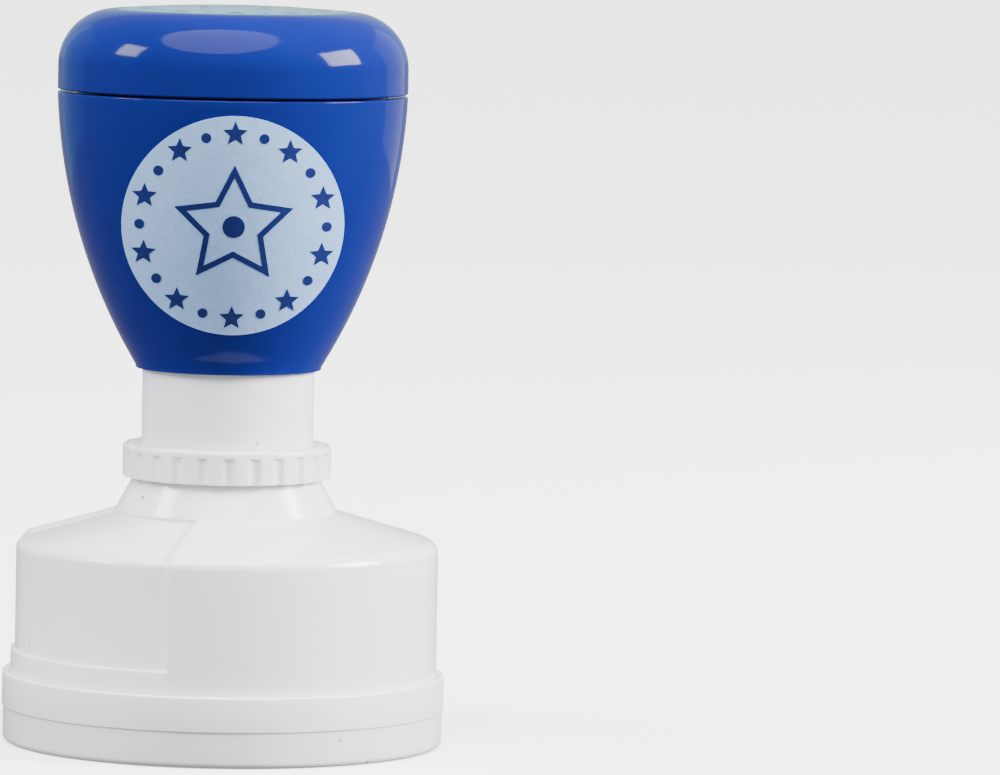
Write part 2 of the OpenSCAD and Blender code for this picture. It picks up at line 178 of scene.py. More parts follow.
def apply_modifier(piece, kind, **settings):
    """Add a modifier with its settings and apply it at once."""
    deselect()
    piece.select_set(True)
    bpy.context.view_layer.objects.active = piece
    modifier = piece.modifiers.new(kind.title(), kind)
    for key, value in settings.items():
        setattr(modifier, key, value)
    bpy.ops.object.modifier_apply(modifier=modifier.name)


def soften(piece, width, segments=3, angle=30):
    """Round the sharp edges of a piece, as a mould does."""
    apply_modifier(piece, "BEVEL", width=width * MM, segments=segments, limit_method="ANGLE",
                   angle_limit=math.radians(angle), use_clamp_overlap=True)
    smooth(piece)


# %% [markdown]
# ## Turning
# On a lathe a round piece is one outline swept about an axis, and in Blender that is Spin. The outline is
# drawn by extruding a single vertex from point to point. A point may carry a third number, the radius of
# the rounded corner there, because no moulded corner is sharp and the light that runs along a corner is
# what shows its form.

# %% Outlines with rounded corners, and spinning them


def rounded(points, closed, steps=5):
    """Replace each (radius, height, rounding) corner by an arc of that radius."""
    line = []
    last = len(points) - 1
    for i, point in enumerate(points):
        here = Vector(point[:2])
        rounding = point[2] if len(point) > 2 else 0
        if not rounding or (not closed and i in (0, last)):
            line.append(here)
            continue
        back = (Vector(points[i - 1][:2]) - here).normalized()
        ahead = (Vector(points[(i + 1) % len(points)][:2]) - here).normalized()
        half = back.angle(ahead) / 2
        reach = rounding / math.tan(half)
        centre = here + (back + ahead).normalized() * rounding / math.sin(half)
        start = here + back * reach - centre
        turn = start.angle_signed(here + ahead * reach - centre)
        for k in range(steps + 1):
            a = -turn * k / steps
            line.append(centre + Vector((start.x * math.cos(a) - start.y * math.sin(a),
                                         start.x * math.sin(a) + start.y * math.cos(a))))
    return line


def new_piece(name):
    """Name the object just added."""
    piece = bpy.context.object
    piece.name = piece.data.name = name
    return piece


def tidy_mesh(merge=0.002):
    """Merge doubles and point the faces outwards, in edit mode."""
    bpy.ops.mesh.select_all(action="SELECT")
    bpy.ops.mesh.remove_doubles(threshold=merge * MM)
    bpy.ops.mesh.normals_make_consistent(inside=False)


def drawn(name, path):
    """A chain of edges through the points of a path, in metres, left in edit mode."""
    deselect()
    bpy.ops.mesh.primitive_plane_add(size=MM)
    piece = new_piece(name)
    edit(piece)
    bpy.ops.mesh.select_all(action="SELECT")
    bpy.ops.mesh.merge(type="CENTER")
    bpy.ops.transform.translate(value=path[0])
    for here, there in zip(path, path[1:]):
        bpy.ops.mesh.extrude_vertices_move(TRANSFORM_OT_translate={"value": there - here})
    return piece


def turned(name, points, closed=False, steps=180):
    """Turn an outline of (radius, height, rounding) points about the stamp's axis."""
    line = rounded(points, closed)
    if closed:
        line.append(line[0])
    piece = drawn(name, [Vector((p.x, 0, p.y)) * MM for p in line])
    bpy.ops.mesh.select_all(action="SELECT")
    bpy.ops.mesh.spin(steps=steps, angle=2 * math.pi, center=(0, 0, 0), axis=(0, 0, 1), use_auto_merge=False)
    tidy_mesh()
    deselect()
    smooth(piece)
    return piece


def azimuth(middle):
    """Degrees round the axis from the front of the stamp, positive to the right."""
    return math.degrees(math.atan2(middle.x, -middle.y))


def push(piece, depth):
    """Push the selected faces along their normals, with new walls at their border."""
    bpy.ops.mesh.extrude_region_shrink_fatten(TRANSFORM_OT_shrink_fatten={"value": depth * MM})


# %% [markdown]
# ## Finishes
# All the plastic shares three small effects, so each is a node group that puts out a mask or a normal: a
# very fine ripple left by the mould, a haze of handling that dulls the gloss in patches, and a dusting of
# specks. The Principled shader stays in each material, with its plain numbers set on its own sockets.

# %% Shared effects


def effect(name, inputs, outputs):
    """A new shader node group with named float inputs, given with their defaults, and named outputs."""
    group = bpy.data.node_groups.new(name, "ShaderNodeTree")
    for label, default in inputs.items():
        group.interface.new_socket(
            label, in_out="INPUT", socket_type="NodeSocketFloat").default_value = default
    for label, kind in outputs.items():
        group.interface.new_socket(label, in_out="OUTPUT", socket_type=kind)
    source = group.nodes.new("NodeGroupInput")
    sink = group.nodes.new("NodeGroupOutput")
    return group, source, sink


def wire(tree, *pairs):
    for a, b in pairs:
        tree.links.new(a, b)


def node(tree, kind, **settings):
    """A new node with its properties set, and its sockets set where the name is a socket's."""
    made = tree.nodes.new("ShaderNode" + kind)
    for key, value in settings.items():
        if hasattr(made, key):
            setattr(made, key, value)
        else:
            made.inputs[key.replace("_", " ")].default_value = value
    return made


def moulded_ripple():
    """Normals of a faint ripple, the orange peel of a polished mould. Scale is in waves per metre."""
    group, source, sink = effect(
        "moulded_ripple", {"Scale": 400, "Height": 0.02}, {"Normal": "NodeSocketVector"})
    place = node(group, "TexCoord")
    noise = node(group, "TexNoise", Detail=3.0, Roughness=0.45)
    bump = node(group, "Bump", Distance=0.0004)
    wire(group, (place.outputs["Object"], noise.inputs["Vector"]),
         (source.outputs["Scale"], noise.inputs["Scale"]),
         (noise.outputs["Fac"], bump.inputs["Height"]), (source.outputs["Height"], bump.inputs["Strength"]),
         (bump.outputs["Normal"], sink.inputs["Normal"]))
    return group


def handling_haze():
    """A mask of soft patches where fingers have dulled a surface."""
    group, source, sink = effect("handling_haze", {"Scale": 90, "Low": 0.1, "High": 0.2},
                                 {"Roughness": "NodeSocketFloat"})
    place = node(group, "TexCoord")
    broad = node(group, "TexNoise", Detail=4.0, Roughness=0.6, Distortion=0.4)
    spread = node(group, "MapRange")
    spread.inputs["From Min"].default_value = 0.35
    spread.inputs["From Max"].default_value = 0.7
    wire(group, (place.outputs["Object"], broad.inputs["Vector"]),
         (source.outputs["Scale"], broad.inputs["Scale"]),
         (broad.outputs["Fac"], spread.inputs["Value"]), (source.outputs["Low"], spread.inputs["To Min"]),
         (source.outputs["High"], spread.inputs["To Max"]),
         (spread.outputs["Result"], sink.inputs["Roughness"]))
    return group


def specks():
    """A mask of small round specks. Scale is in cells per metre, and Share is how many cells hold one."""
    group, source, sink = effect(
        "specks", {"Scale": 1500, "Share": 0.1, "Size": 0.25}, {"Mask": "NodeSocketFloat"})
    place = node(group, "TexCoord")
    cells = node(group, "TexVoronoi", feature="F1")
    chosen = node(group, "Math", operation="LESS_THAN")
    near = node(group, "Math", operation="LESS_THAN")
    both = node(group, "Math", operation="MULTIPLY")
    split = node(group, "SeparateColor")
    wire(group, (place.outputs["Object"], cells.inputs["Vector"]),
         (source.outputs["Scale"], cells.inputs["Scale"]),
         (cells.outputs["Color"], split.inputs["Color"]), (split.outputs["Red"], chosen.inputs[0]),
         (source.outputs["Share"], chosen.inputs[1]), (cells.outputs["Distance"], near.inputs[0]),
         (source.outputs["Size"], near.inputs[1]), (chosen.outputs[0], both.inputs[0]),
         (near.outputs[0], both.inputs[1]), (both.outputs[0], sink.inputs["Mask"]))
    return group


RIPPLE = moulded_ripple()
HAZE = handling_haze()
SPECKS = specks()


def use(tree, group, **values):
    made = tree.nodes.new("ShaderNodeGroup")
    made.node_tree = group
    for key, value in values.items():
        made.inputs[key].default_value = value
    return made


def material(name, **sockets):
    """A material with an empty node tree but for its Principled shader, whose plain numbers are set here."""
    made = bpy.data.materials.new(name)
    made.use_nodes = True
    shader = made.node_tree.nodes["Principled BSDF"]
    for key, value in sockets.items():
        shader.inputs[key.replace("_", " ")].default_value = value
    return made, made.node_tree, shader


print("effects:", RIPPLE.name, HAZE.name, SPECKS.name)

# %% [markdown]
# ### Plastics
# Glossy plastic is coloured right through and its shine comes from a smooth skin. White polystyrene lets a
# little light in, which softens its shadows, so it gets a touch of subsurface scattering. Its colour is
# never quite even: a slow mottling of a few hundredths keeps large white areas from looking like paper.
#
# Polystyrene's index of refraction is near 1.59. The blue is given 1.17 on purpose: a deep colour shows
# every pale reflection, and at its real index the sides of the handle mirror so much of a pale room that
# they turn grey. It is a choice of looks and not a property of the plastic.

# %% Moulded plastic


def plastic(name, colour, shade, gloss, ripple=0.02, grain=450, flecks=0.0, milky=0.0, ior=1.5):
    """Moulded plastic. shade is its darker tone, gloss its (lowest, highest) roughness.

    ripple and grain are the height and the scale of the mould's ripple, flecks the share of specks, and milky
    how much light gets in under the skin.
    """
    made, tree, shader = material(name, IOR=ior)
    if milky:
        shader.inputs["Subsurface Weight"].default_value = milky
        shader.inputs["Subsurface Radius"].default_value = (1.0, 0.95, 0.9)
        shader.inputs["Subsurface Scale"].default_value = 0.0008
    place = node(tree, "TexCoord")
    mottle = node(tree, "TexNoise", Scale=130.0, Detail=5.0, Roughness=0.55)
    tone = node(tree, "Mix", data_type="RGBA")
    tone.inputs["A"].default_value = (*colour, 1)
    tone.inputs["B"].default_value = (*shade, 1)
    haze = use(tree, HAZE, Low=gloss[0], High=gloss[1])
    skin = use(tree, RIPPLE, Scale=grain, Height=ripple)
    wire(tree, (place.outputs["Object"], mottle.inputs["Vector"]),
         (mottle.outputs["Fac"], tone.inputs["Factor"]),
         (haze.outputs["Roughness"], shader.inputs["Roughness"]),
         (skin.outputs["Normal"], shader.inputs["Normal"]))
    if flecks:
        dust = use(tree, SPECKS, Scale=900.0, Share=flecks, Size=0.16)
        dirt = node(tree, "Mix", data_type="RGBA")
        dirt.inputs["B"].default_value = (shade[0] * 0.45, shade[1] * 0.44, shade[2] * 0.42, 1)
        wire(tree, (dust.outputs["Mask"], dirt.inputs["Factor"]), (tone.outputs["Result"], dirt.inputs["A"]),
             (dirt.outputs["Result"], shader.inputs["Base Color"]))
    else:
        wire(tree, (tone.outputs["Result"], shader.inputs["Base Color"]))
    return made


WHITE = plastic("body_white", (0.84, 0.85, 0.87), (0.79, 0.80, 0.82), (0.13, 0.24), 0.015, 300, 0.006, 0.25)
CAP_WHITE = plastic("cap_white", (0.83, 0.84, 0.86), (0.78, 0.79, 0.81), (0.2, 0.34), 0.03, 500, 0.008, 0.25)
RING_WHITE = plastic("ring_white", (0.84, 0.85, 0.87), (0.78, 0.79, 0.81), (0.2, 0.32), 0.03, 600, 0.01, 0.3)
INNER_WHITE = plastic("inner_white", (0.74, 0.75, 0.77), (0.66, 0.67, 0.70), (0.32, 0.46), 0.05, 700,
                      0.01, 0.1)
BLUE = plastic("handle_blue", (0.008, 0.014, 0.155), (0.006, 0.011, 0.120), (0.05, 0.12), 0.012, 260, 0.002,
               ior=1.17)
print("plastics made")

# %% [markdown]
# ## Hanging pieces on the frame
# A loose mesh would stay behind when the handle is pressed. So each finished piece is parented to the
# empty of the body it rides on and given its material, and the CAD node it stands for is hidden. Parts that
# the mould makes in one go are modelled apart and joined before that.

# %% Hang a piece on the frame


def install(piece, body, cad_node, finish):
    """Give a piece its material, parent it to the empty of its body, and hide the CAD node it stands for."""
    piece.data.materials.clear()
    piece.data.materials.append(finish)
    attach(piece, body)
    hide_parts(cad_node)
    print(f"{piece.name}: {len(piece.data.polygons)} faces on body {body}")


def join(parts):
    """Join parts into the first one."""
    deselect()
    for part in parts:
        part.select_set(True)
    bpy.context.view_layer.objects.active = parts[0]
    bpy.ops.object.join()
    return parts[0]


# %% [markdown]
# ## The dust cap
# The cap is a shallow tray that the body pushes into. Its wall is thin, its upper band stands a hair proud
# where the mould parts, and its floor drops into a well so that the inked face never touches it.
# Underneath, it stands on a ring, with the small scar of the mould's gate in the middle.

# %% Turn the dust cap
bore = skirt_r + 0.06
well = skirt_r - 1.1
step = foot_z + 0.3
dust_cap = turned("cap_tray", [
    (0, step + 0.2), (0.7, step + 0.2, 0.1), (0.9, step + 0.05, 0.05), (2.4, step + 0.05, 0.1),
    (2.5, step, 0.05), (well - 1.6, step, 0.12), (well - 1.5, foot_z, 0.1),
    (cap_r - 0.1, foot_z, 0.5), (cap_r - 0.1, cap_top - 2.8, 0.03),
    (cap_r, cap_top - 2.7, 0.03), (cap_r, cap_top, 0.13), (bore, cap_top, 0.12), (bore, rim_z, 0.08),
    (well, rim_z, 0.15), (well, rim_z - 1, 0.4), (0, rim_z - 1),
])
install(dust_cap, "dust_cap", "dust_cap", CAP_WHITE)

# %% [markdown]
# ## The body
# One moulding makes the skirt, the sloping shoulder, the cone and the neck tube. The outside is read from
# the frame and the inside is drawn a wall's thickness in. The skirt runs down inside the dust cap, which
# hides its lower rim.

# %% Turn the body
WALL = 1.3
NECK_R = 6.9
CORE_R = 7.05
CONE_R = 8.84
lip_z = rim_z + 5
shelf_z = hub_top + 0.05
cone_z = shelf_z - 0.8
shoulder = outer_line("outer_shell", rim_z + 0.1, cone_z + 0.01)[1:]
slope = math.tan(math.radians(16.35))
inner_r = skirt_r - WALL
ceiling = cone_z - (inner_r - CONE_R) * slope - WALL * 1.04
body = turned("body_shell", [
    (skirt_r, rim_z, 0.12), (skirt_r, lip_z), *shoulder,
    (CORE_R, ring_z + 0.7, 0.1), (CORE_R, ring_z + 0.84),
    (CORE_R, ring_top - 0.7, 0.05), (NECK_R, ring_top - 0.6, 0.05),
    (NECK_R, neck_top, 0.3), (NECK_R - 1.2, neck_top, 0.25), (NECK_R - 1.2, shelf_top, 0.2),
    (rod_r + 0.08, shelf_top, 0.1), (rod_r + 0.08, shelf_z, 0.1), (CONE_R - 2, shelf_z, 0.3),
    (CONE_R - 1.6, ceiling + (inner_r - CONE_R + 1.6) * slope, 0.4), (inner_r, ceiling, 0.5),
    (inner_r, rim_z, 0.12),
], closed=True)
print("cone foot at", cone_z)

# %% [markdown]
# ### Label panel and keyways
# The label panel covers a quarter of the left side. Its faces are picked by direction and height and pushed
# a third of a millimetre in, and the edges of the step are then rounded. The keyways on the neck are cut
# the same way. They stop the handle and the stop washer from turning.

# %% Press in the panel and the keyways
PANEL = (-106, -16)
edit(body)
pick(body, "faces", lambda m, f: PANEL[0] < azimuth(m) < PANEL[1] and lip_z < m.z < cone_z
     and f.normal.z > -0.1 and math.hypot(m.x, m.y) > CONE_R and f.normal.xy.dot(m.xy) > 0)
bpy.ops.mesh.extrude_region_shrink_fatten(
    TRANSFORM_OT_shrink_fatten={"value": -0.33 * MM, "use_even_offset": True})
bpy.ops.mesh.select_all(action="DESELECT")
steps = pick(body, "edges", lambda m, e: len(e.link_faces) == 2 and e.calc_face_angle(0) > math.radians(50)
             and lip_z - 0.5 < m.z < cone_z + 0.2 and CONE_R - 0.4 < math.hypot(m.x, m.y)
             and PANEL[0] - 1 < azimuth(m) < PANEL[1] + 1 and (m.z > cone_z - 0.4 or m.z < lip_z + 0.1
             or min(abs(azimuth(m) - a) for a in PANEL) < 0.5))
bpy.ops.mesh.bevel(offset=0.07 * MM, segments=3, affect="EDGES", clamp_overlap=True)


def at_key(middle, half=8):
    """True within half degrees of the two keys, which are at the right and at the left."""
    return abs(abs(azimuth(middle)) - 90) < half


pick(body, "faces", lambda m, f: at_key(m) and ring_z + 0.8 < m.z < neck_top - 0.25
     and NECK_R - 0.1 < math.hypot(m.x, m.y) < CORE_R + 0.05 and f.normal.xy.dot(m.xy) > 0)
push(body, -0.35)
deselect()
smooth(body)
print("edges rounded round the panel:", steps)

# %% [markdown]
# ### The thread
# A thread is a section carried round a helix, which the Screw modifier does. The ridge is drawn as a small
# triangle, screwed up the neck's core by two turns, and joined to the body.

# %% Cut the thread
deselect()
bpy.ops.mesh.primitive_circle_add(vertices=3, radius=0.3 * MM)
ridge = new_piece("thread_ridge")
edit(ridge)
bpy.ops.mesh.select_all(action="SELECT")
bpy.ops.transform.rotate(value=math.pi / 2, orient_axis="X", center_override=(0, 0, 0))
bpy.ops.transform.rotate(value=math.pi / 2, orient_axis="Y", center_override=(0, 0, 0))
bpy.ops.transform.translate(value=((CORE_R - 0.05) * MM, 0, (ring_z + 0.95) * MM))
deselect()
apply_modifier(ridge, "SCREW", screw_offset=0.4 * MM, angle=math.pi, iterations=3, steps=60, render_steps=60,
               use_smooth_shade=False)
edit(ridge)
bpy.ops.mesh.select_all(action="SELECT")
bpy.ops.mesh.fill_holes(sides=3)
tidy_mesh()
deselect()
high = max(math.hypot(v.co.x, v.co.y) for v in ridge.data.vertices) / MM
body = join([body, ridge])
install(body, "shell", "outer_shell", WHITE)
print(f"thread reaches {high:.2f} mm from the axis")

# %% [markdown]
# ## The depth ring
# The ring is turned on the neck's thread to set how far the die comes down. Its finger grooves run out just
# under a smooth rim. The ring is spun in 400 steps, 16 to a groove, so that whole columns of vertices can
# be drawn in towards the axis to make all 25 grooves at once, each hollow rounded.

# %% Turn the ring and draw in its grooves
GROOVES = 25
smooth_rim = ring_top - 0.5
seat_r = ring_r - 0.36
ring = turned("grip_ring", [
    (7.72, ring_z, 0.08), (ring_r, ring_z, 0.15), (ring_r, smooth_rim - 0.06), (ring_r, smooth_rim),
    (ring_r, ring_top, 0.28), (seat_r, ring_top, 0.06), (seat_r, washer_z), (7.38, washer_z, 0.08),
    (7.38, ring_z + 0.54, 0.06), (7.72, ring_z + 0.54),
], closed=True, steps=400)
edit(ring)
turn = 360 / GROOVES
column_turn = 360 / 400
for column, depth in ((0, 0.25), (1, 0.235), (2, 0.17), (3, 0.06)):
    picked = pick(ring, "verts", lambda m, v: m.z < smooth_rim - 0.01 and math.hypot(m.x, m.y) > ring_r - 0.2
                  and abs(abs((azimuth(m) + turn / 2) % turn - turn / 2) - column * column_turn) < 0.2)
    draw = (ring_r - depth) / ring_r
    bpy.ops.transform.resize(value=(draw, draw, 1), center_override=(0, 0, 0))
    print(f"drew in {picked} vertices by {depth} mm")
deselect()
smooth(ring, 40)
install(ring, "ring", "adjusting_ring", RING_WHITE)

# %% [markdown]
# ### The stop washer
# The washer lies in the ring and is keyed to the neck, so that it climbs with the ring and never turns. Its
# two keys are drawn inwards from the bore's faces.

# %% Turn the stop washer
washer = turned("neck_washer", [
    (NECK_R + 0.08, washer_z, 0.05), (washer_r, washer_z, 0.06), (washer_r, washer_top, 0.12),
    (NECK_R + 0.08, washer_top, 0.08),
], closed=True)
edit(washer)
pick(washer, "faces",
     lambda m, f: at_key(m, 6) and math.hypot(m.x, m.y) < NECK_R + 0.1 and f.normal.z ** 2 < 0.1)
push(washer, 0.28)
deselect()
smooth(washer)
install(washer, "stop", "stop_washer", INNER_WHITE)

# %% [markdown]
# ## The handle
# The handle's side is one long arc that swells from the neck to the seam, so that fingers can pull it down
# from above and squeeze it from the sides. It is hollow. A sleeve inside it slides on the neck, with two
# keys that run in the neck's keyways, and a socket at its top takes the cap's spigot.

# %% Turn the handle
HANDLE_WALL = 1.5
socket_r = handle_r - HANDLE_WALL
sleeve_r = 8.18
sleeve_top = neck_top + 3.4
hollow_z = handle_z + 6.6
deck_bottom = deck_top - 1.4
side = outer_line("handle_body", handle_z + 0.2, seam_z - 0.1)
hollow = [(min(r - HANDLE_WALL, deck_r - 0.7), z) for r, z in reversed(side)
          if hollow_z + 0.6 < z < deck_bottom - 1]
handle = turned("handle_grip", [
    (NECK_R + 0.08, handle_z, 0.08), (side[0][0] - 0.02, handle_z, 0.12), *side, (handle_r, seam_z, 0.12),
    (socket_r, seam_z, 0.1), (socket_r, spigot_z, 0.15), (deck_r + 0.03, spigot_z),
    (deck_r + 0.03, deck_bottom),
    (deck_r - 0.7, deck_bottom, 0.05), *hollow, (sleeve_r + 0.6, hollow_z, 0.3), (sleeve_r, hollow_z, 0.2),
    (sleeve_r, sleeve_top, 0.2), (NECK_R + 0.08, sleeve_top, 0.2), (NECK_R + 0.08, neck_top - 0.4),
    (NECK_R + 0.08, handle_z + 0.6),
], closed=True)
edit(handle)
pick(handle, "faces", lambda m, f: at_key(m, 6) and handle_z + 0.6 < m.z < neck_top - 0.4
     and math.hypot(m.x, m.y) < NECK_R + 0.1)
push(handle, 0.28)
deselect()
smooth(handle)
install(handle, "handle", "handle_body", BLUE)

# %% [markdown]
# ### The lift-off cap
# The cap's crown is a quarter-round. Its skirt stops a fifth of a millimetre above the handle, and that gap
# is the dark line round the handle. A recess in the top holds the index label and the lens over it.

# %% Turn the handle's cap
crown = outer_line("handle_cap", seam_z + 0.25, crown_z)
rim_r = crown[-1][0]
spigot_r = socket_r - 0.03
cap = turned("handle_lid", [
    (0, label_z), (rim_r, label_z, 0.05), (rim_r, crown_z, 0.1), *reversed(crown[:-1]),
    (handle_r, seam_z + 0.18, 0.12),
    (spigot_r, seam_z + 0.18), (spigot_r, spigot_z, 0.25), (spigot_r - 1.2, spigot_z, 0.15),
    (spigot_r - 1.2, label_z - 1.1, 2.3), (0, label_z - 1.1),
])
install(cap, "cap", "handle_cap", BLUE)

# %% [markdown]
# ## The lens and the label under it
# The top of the handle shows what the stamp prints: a paper disc under a slightly domed window of clear
# acrylic. Acrylic has an index of refraction of 1.49 and almost no colour of its own, only a cool cast
# where it is thick. The paper is bonded to the acrylic, so its face is set a few hundredths inside the
# lens. With air between them, a low eye would see the lens's own underside as a dark mirror.

# %% Turn the window and make the acrylic
lens = turned("window", [
    (0, lens_z + 0.005), (lens_r - 0.02, lens_z + 0.005, 0.08),
    *[(min(r, lens_r - 0.02), z) for r, z in outer_line("index_lens", lens_z + 0.5, lens_top) if r > 0.2],
    (0, lens_top),
])
CLEAR, tree, shader = material("lens_clear", IOR=1.49, Roughness=0.03, Transmission_Weight=1.0)
shader.inputs["Base Color"].default_value = (0.93, 0.985, 0.985, 1)
scuff = use(tree, HAZE, Scale=160.0, Low=0.02, High=0.10)
skin = use(tree, RIPPLE, Scale=260.0, Height=0.02)
wire(tree, (scuff.outputs["Roughness"], shader.inputs["Roughness"]),
     (skin.outputs["Normal"], shader.inputs["Normal"]))
install(lens, "cap", "index_lens", CLEAR)

# %% [markdown]
# ### The paper
# Paper is matt and faintly fibrous, so its colour is broken up by fine noise. The disc is a hair smaller
# than the recess that it lies in.

# %% Make the paper disc
PAPER, tree, shader = material("label_paper", IOR=1.45, Roughness=0.6)
place = node(tree, "TexCoord")
fibre = node(tree, "TexNoise", Scale=2600.0, Detail=4.0, Roughness=0.7)
tone = node(tree, "Mix", data_type="RGBA")
tone.inputs["A"].default_value = (0.24, 0.58, 0.72, 1)
tone.inputs["B"].default_value = (0.34, 0.68, 0.81, 1)
wire(tree, (place.outputs["Object"], fibre.inputs["Vector"]), (fibre.outputs["Fac"], tone.inputs["Factor"]),
     (tone.outputs["Result"], shader.inputs["Base Color"]))
BOND = 0.03
label = turned("paper_disc", [(0, label_z), (label_r, label_z, 0.03), (label_r, label_top + BOND, 0.03),
                              (0, label_top + BOND)])

# %% [markdown]
# ## The printed marks
# The badge and the label carry the same plain device: an outlined star in a ring of little stars and dots.
# Each mark is a flat shape. A star is a circle of ten points with every other point drawn in, and an
# outline is two such loops bridged together.

# %% Flat marks, drawn face up on the ground plane


def loop(points, radius, waist=1.0, fill="NOTHING", at=(0, 0)):
    """A circle with every other point drawn in to waist times the radius, first point towards the top."""
    deselect()
    bpy.ops.mesh.primitive_circle_add(vertices=points, radius=radius * MM, fill_type=fill, location=(0, 0, 0))
    mark = new_piece("mark")
    edit(mark)
    if waist < 1:
        pick(mark, "verts", lambda m, v: m.length > radius / 2
             and round(math.degrees(math.atan2(m.x, m.y)) / 36) % 2 == 1)
        bpy.ops.transform.resize(value=(waist, waist, 1), center_override=(0, 0, 0))
    bpy.ops.mesh.select_all(action="SELECT")
    bpy.ops.transform.translate(value=(at[0] * MM, at[1] * MM, 0))
    deselect()
    return mark


def outline(points, radius, width, waist=1.0):
    """The line of that width inside a loop."""
    mark = join([loop(points, radius, waist), loop(points, radius - width, waist)])
    edit(mark)
    bpy.ops.mesh.select_all(action="SELECT")
    bpy.ops.mesh.bridge_edge_loops()
    deselect()
    return mark


def device(name, size):
    """The whole device, of that radius."""
    marks = [outline(10, 0.56 * size, 0.115 * size, 0.5), loop(32, 0.10 * size, fill="TRIFAN")]
    for k in range(20):
        a = math.radians(18 * k)
        place = (0.84 * size * math.sin(a), 0.84 * size * math.cos(a))
        if k % 2 == 0:
            marks.append(loop(10, 0.115 * size, 0.45, "TRIFAN", place))
        else:
            marks.append(loop(20, 0.045 * size, fill="TRIFAN", at=place))
    made = join(marks)
    made.name = made.data.name = name
    edit(made)
    pick(made, "edges", lambda m, e: e.calc_length() > 0.05 * size * MM)
    bpy.ops.mesh.subdivide(number_cuts=7)
    pick(made, "faces", lambda m, f: f.normal.z < 0)
    bpy.ops.mesh.flip_normals()
    deselect()
    return made


INK, tree, shader = material("printed_ink", IOR=1.22, Roughness=0.4)
place = node(tree, "TexCoord")
worn = node(tree, "TexNoise", Scale=1400.0, Detail=6.0, Roughness=0.7)
tone = node(tree, "Mix", data_type="RGBA")
tone.inputs["A"].default_value = (0.006, 0.010, 0.075, 1)
tone.inputs["B"].default_value = (0.014, 0.024, 0.140, 1)
wire(tree, (place.outputs["Object"], worn.inputs["Vector"]), (worn.outputs["Fac"], tone.inputs["Factor"]),
     (tone.outputs["Result"], shader.inputs["Base Color"]))
label_ink = device("paper_print", 8.6)
edit(label_ink)
bpy.ops.mesh.select_all(action="SELECT")
bpy.ops.transform.translate(value=(0, 0, (label_top + BOND + 0.002) * MM))
deselect()
apply_modifier(label_ink, "SOLIDIFY", thickness=0.015 * MM, offset=1.0)
label.data.materials.append(PAPER)
label_ink.data.materials.append(INK)
label = join([label, label_ink])
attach(label, "cap")
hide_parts("index_label")
print("label faces:", len(label.data.polygons))

# %% [markdown]
# ## The badge
# The badge is a thin printed film stuck round the handle's curve. A disc of rings is made in front of the
# handle, laid on the surface with Shrinkwrap, and thickened outwards by a few hundredths. The marks are
# laid on the same way, a hair higher, so their edges catch the light as printing does.

# %% Lay the film and its print on the handle
badge_low, badge_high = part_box("front_badge")
badge_z = (badge_low.z + badge_high.z) / 2 / MM
badge_r = (badge_high.z - badge_low.z) / 2 / MM


def lay(mark, lift, thickness):
    """Stand a flat mark up in front of the handle, lay it on the surface and thicken it outwards."""
    edit(mark)
    bpy.ops.mesh.select_all(action="SELECT")
    bpy.ops.transform.rotate(value=-math.pi / 2, orient_axis="X", center_override=(0, 0, 0))
    bpy.ops.transform.translate(value=(0, -20 * MM, badge_z * MM))
    deselect()
    apply_modifier(mark, "SHRINKWRAP", target=handle, wrap_method="PROJECT", use_project_y=True,
                   use_positive_direction=True, use_negative_direction=False, wrap_mode="ABOVE_SURFACE",
                   offset=lift * MM)
    front = sum(p.normal.y for p in mark.data.polygons)
    apply_modifier(mark, "SOLIDIFY", thickness=thickness * MM, offset=1.0 if front < 0 else -1.0)
    edit(mark)
    bpy.ops.mesh.select_all(action="SELECT")
    bpy.ops.mesh.normals_make_consistent(inside=False)
    deselect()
    smooth(mark, 40)


film = loop(128, badge_r, fill="NGON")
film.name = film.data.name = "badge_film"
edit(film)
bpy.ops.mesh.select_all(action="SELECT")
for ring_no in range(9):
    bpy.ops.mesh.inset(thickness=(0.08 if ring_no == 0 else 0.95) * MM, depth=0)
bpy.ops.mesh.poke()
deselect()
lay(film, 0.004, 0.044)
print_marks = device("badge_device", badge_r)
lay(print_marks, 0.056, 0.02)

FILM, tree, shader = material("badge_film", IOR=1.33)
place = node(tree, "TexCoord")
cloud = node(tree, "TexNoise", Scale=420.0, Detail=7.0, Roughness=0.72)
tone = node(tree, "Mix", data_type="RGBA")
tone.inputs["A"].default_value = (0.22, 0.38, 0.70, 1)
tone.inputs["B"].default_value = (0.33, 0.51, 0.83, 1)
dots = use(tree, SPECKS, Scale=4800.0, Share=0.22, Size=0.24)
speck = node(tree, "Mix", data_type="RGBA")
speck.inputs["B"].default_value = (0.15, 0.25, 0.46, 1)
haze = use(tree, HAZE, Scale=140.0, Low=0.26, High=0.42)
skin = use(tree, RIPPLE, Scale=1500.0, Height=0.10)
wire(tree, (place.outputs["Object"], cloud.inputs["Vector"]), (cloud.outputs["Fac"], tone.inputs["Factor"]),
     (tone.outputs["Result"], speck.inputs["A"]), (dots.outputs["Mask"], speck.inputs["Factor"]),
     (speck.outputs["Result"], shader.inputs["Base Color"]),
     (haze.outputs["Roughness"], shader.inputs["Roughness"]),
     (skin.outputs["Normal"], shader.inputs["Normal"]))
film.data.materials.append(FILM)
print_marks.data.materials.append(INK)
film = join([film, print_marks])
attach(film, "handle")
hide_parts("front_badge")
print(f"badge of radius {badge_r:.2f} mm at {badge_z:.2f} mm, {len(film.data.polygons)} faces")

# %% [markdown]
# ## Inside the handle
# A deck seats in the handle and takes the spring's push. The plunger tube hangs from it by a hexagon nut.
# The tube carries the die and leads ink down to the foam, and a plug closes its top. All three are turned.

